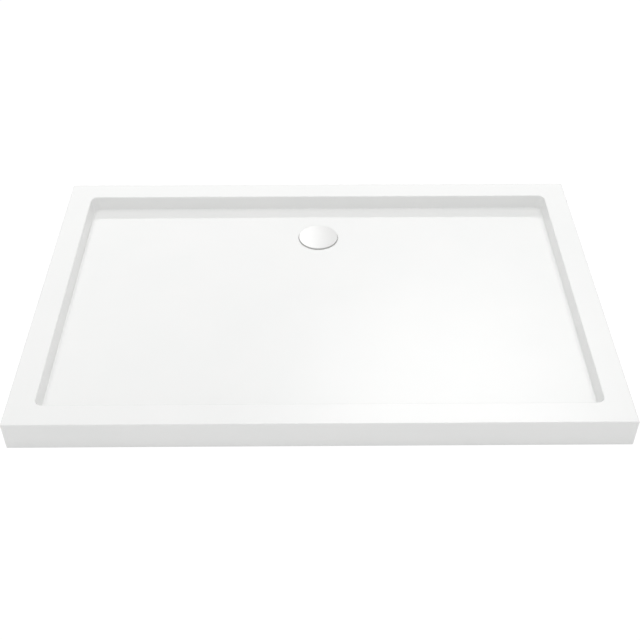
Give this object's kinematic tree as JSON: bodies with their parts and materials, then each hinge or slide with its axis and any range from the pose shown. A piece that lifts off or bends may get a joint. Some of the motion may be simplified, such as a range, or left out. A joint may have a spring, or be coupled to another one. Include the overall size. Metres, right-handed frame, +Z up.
{
  "type": "shower tray",
  "caption": "Low rectangular shower tray with a wide flat rim, a gently falling floor, a waste under a lift-off domed cover, and screw feet for levelling.",
  "frame": {"origin": "centre of the footprint, on the ground", "axes": "+X along the long side, +Y towards the wall behind the waste, +Z up"},
  "size_m": [1.2, 0.8, 0.062],
  "materials": {
    "white_acrylic": "high gloss, vacuum formed",
    "cover_plastic": "gloss, moulded",
    "fibreglass": "rough laid-up mat in resin",
    "filler": "matt stiff filler",
    "board": "raw chipboard",
    "batten": "planed softwood",
    "waste_plastic": "moulded polypropylene",
    "seal_rubber": "moulded rubber",
    "washer_plastic": "moulded",
    "nut_plastic": "moulded polypropylene",
    "strainer_plastic": "moulded",
    "socket_plastic": "moulded nylon",
    "pad_plastic": "moulded",
    "zinc_steel": "zinc plated"
  },
  "bodies": {
    "tray": {"acrylic_shell": "white_acrylic", "fibreglass_backing": "fibreglass", "floor_bed": "filler", "base_board": "board", "rim_batten_front": "batten", "rim_batten_back": "batten", "rim_batten_left": "batten", "rim_batten_right": "batten", "waste_flange": "waste_plastic", "upper_seal": "seal_rubber", "lower_seal": "seal_rubber", "slip_washer": "washer_plastic", "back_nut": "nut_plastic", "socket_screws": "zinc_steel", "foot_socket_front_left": "socket_plastic", "foot_socket_front_middle": "socket_plastic", "foot_socket_front_right": "socket_plastic", "foot_socket_back_left": "socket_plastic", "foot_socket_back_right": "socket_plastic", "foot_socket_centre": "socket_plastic"},
    "strainer": {"strainer": "strainer_plastic"},
    "cover": {"drain_cover": "cover_plastic"},
    "foot_pad_front_left": {"foot_pad_front_left": "pad_plastic"},
    "foot_stem_front_left": {"foot_stem_front_left": "zinc_steel"},
    "foot_pad_front_middle": {"foot_pad_front_middle": "pad_plastic"},
    "foot_stem_front_middle": {"foot_stem_front_middle": "zinc_steel"},
    "foot_pad_front_right": {"foot_pad_front_right": "pad_plastic"},
    "foot_stem_front_right": {"foot_stem_front_right": "zinc_steel"},
    "foot_pad_back_left": {"foot_pad_back_left": "pad_plastic"},
    "foot_stem_back_left": {"foot_stem_back_left": "zinc_steel"},
    "foot_pad_back_right": {"foot_pad_back_right": "pad_plastic"},
    "foot_stem_back_right": {"foot_stem_back_right": "zinc_steel"},
    "foot_pad_centre": {"foot_pad_centre": "pad_plastic"},
    "foot_stem_centre": {"foot_stem_centre": "zinc_steel"}
  },
  "joints": [
    {"name": "strainer_lift", "type": "slide", "parent": "tray", "child": "strainer", "axis": [0, 0, 1], "range_m": [0, 0.08]},
    {"name": "cover_lift", "type": "slide", "parent": "strainer", "child": "cover", "axis": [0, 0, 1], "range_m": [0, 0.06]},
    {"name": "foot_lower_front_left", "type": "slide", "parent": "tray", "child": "foot_pad_front_left", "axis": [0, 0, -1], "range_m": [0, 0.007]},
    {"name": "foot_turn_front_left", "type": "hinge", "parent": "foot_pad_front_left", "child": "foot_stem_front_left", "pos_m": [-0.45, -0.29, 0.01], "axis": [0, 0, -1], "range_deg": [0, 1680]},
    {"name": "foot_lower_front_middle", "type": "slide", "parent": "tray", "child": "foot_pad_front_middle", "axis": [0, 0, -1], "range_m": [0, 0.007]},
    {"name": "foot_turn_front_middle", "type": "hinge", "parent": "foot_pad_front_middle", "child": "foot_stem_front_middle", "pos_m": [0, -0.29, 0.01], "axis": [0, 0, -1], "range_deg": [0, 1680]},
    {"name": "foot_lower_front_right", "type": "slide", "parent": "tray", "child": "foot_pad_front_right", "axis": [0, 0, -1], "range_m": [0, 0.007]},
    {"name": "foot_turn_front_right", "type": "hinge", "parent": "foot_pad_front_right", "child": "foot_stem_front_right", "pos_m": [0.45, -0.29, 0.01], "axis": [0, 0, -1], "range_deg": [0, 1680]},
    {"name": "foot_lower_back_left", "type": "slide", "parent": "tray", "child": "foot_pad_back_left", "axis": [0, 0, -1], "range_m": [0, 0.007]},
    {"name": "foot_turn_back_left", "type": "hinge", "parent": "foot_pad_back_left", "child": "foot_stem_back_left", "pos_m": [-0.45, 0.29, 0.01], "axis": [0, 0, -1], "range_deg": [0, 1680]},
    {"name": "foot_lower_back_right", "type": "slide", "parent": "tray", "child": "foot_pad_back_right", "axis": [0, 0, -1], "range_m": [0, 0.007]},
    {"name": "foot_turn_back_right", "type": "hinge", "parent": "foot_pad_back_right", "child": "foot_stem_back_right", "pos_m": [0.45, 0.29, 0.01], "axis": [0, 0, -1], "range_deg": [0, 1680]},
    {"name": "foot_lower_centre", "type": "slide", "parent": "tray", "child": "foot_pad_centre", "axis": [0, 0, -1], "range_m": [0, 0.007]},
    {"name": "foot_turn_centre", "type": "hinge", "parent": "foot_pad_centre", "child": "foot_stem_centre", "pos_m": [0, 0.065, 0.01], "axis": [0, 0, -1], "range_deg": [0, 1680]}
  ],
  "couplings": [
    {"joint": "foot_lower_front_left", "follows": "foot_turn_front_left", "m_per_rad": 0.0002387},
    {"joint": "foot_lower_front_middle", "follows": "foot_turn_front_middle", "m_per_rad": 0.0002387},
    {"joint": "foot_lower_front_right", "follows": "foot_turn_front_right", "m_per_rad": 0.0002387},
    {"joint": "foot_lower_back_left", "follows": "foot_turn_back_left", "m_per_rad": 0.0002387},
    {"joint": "foot_lower_back_right", "follows": "foot_turn_back_right", "m_per_rad": 0.0002387},
    {"joint": "foot_lower_centre", "follows": "foot_turn_centre", "m_per_rad": 0.0002387}
  ]
}
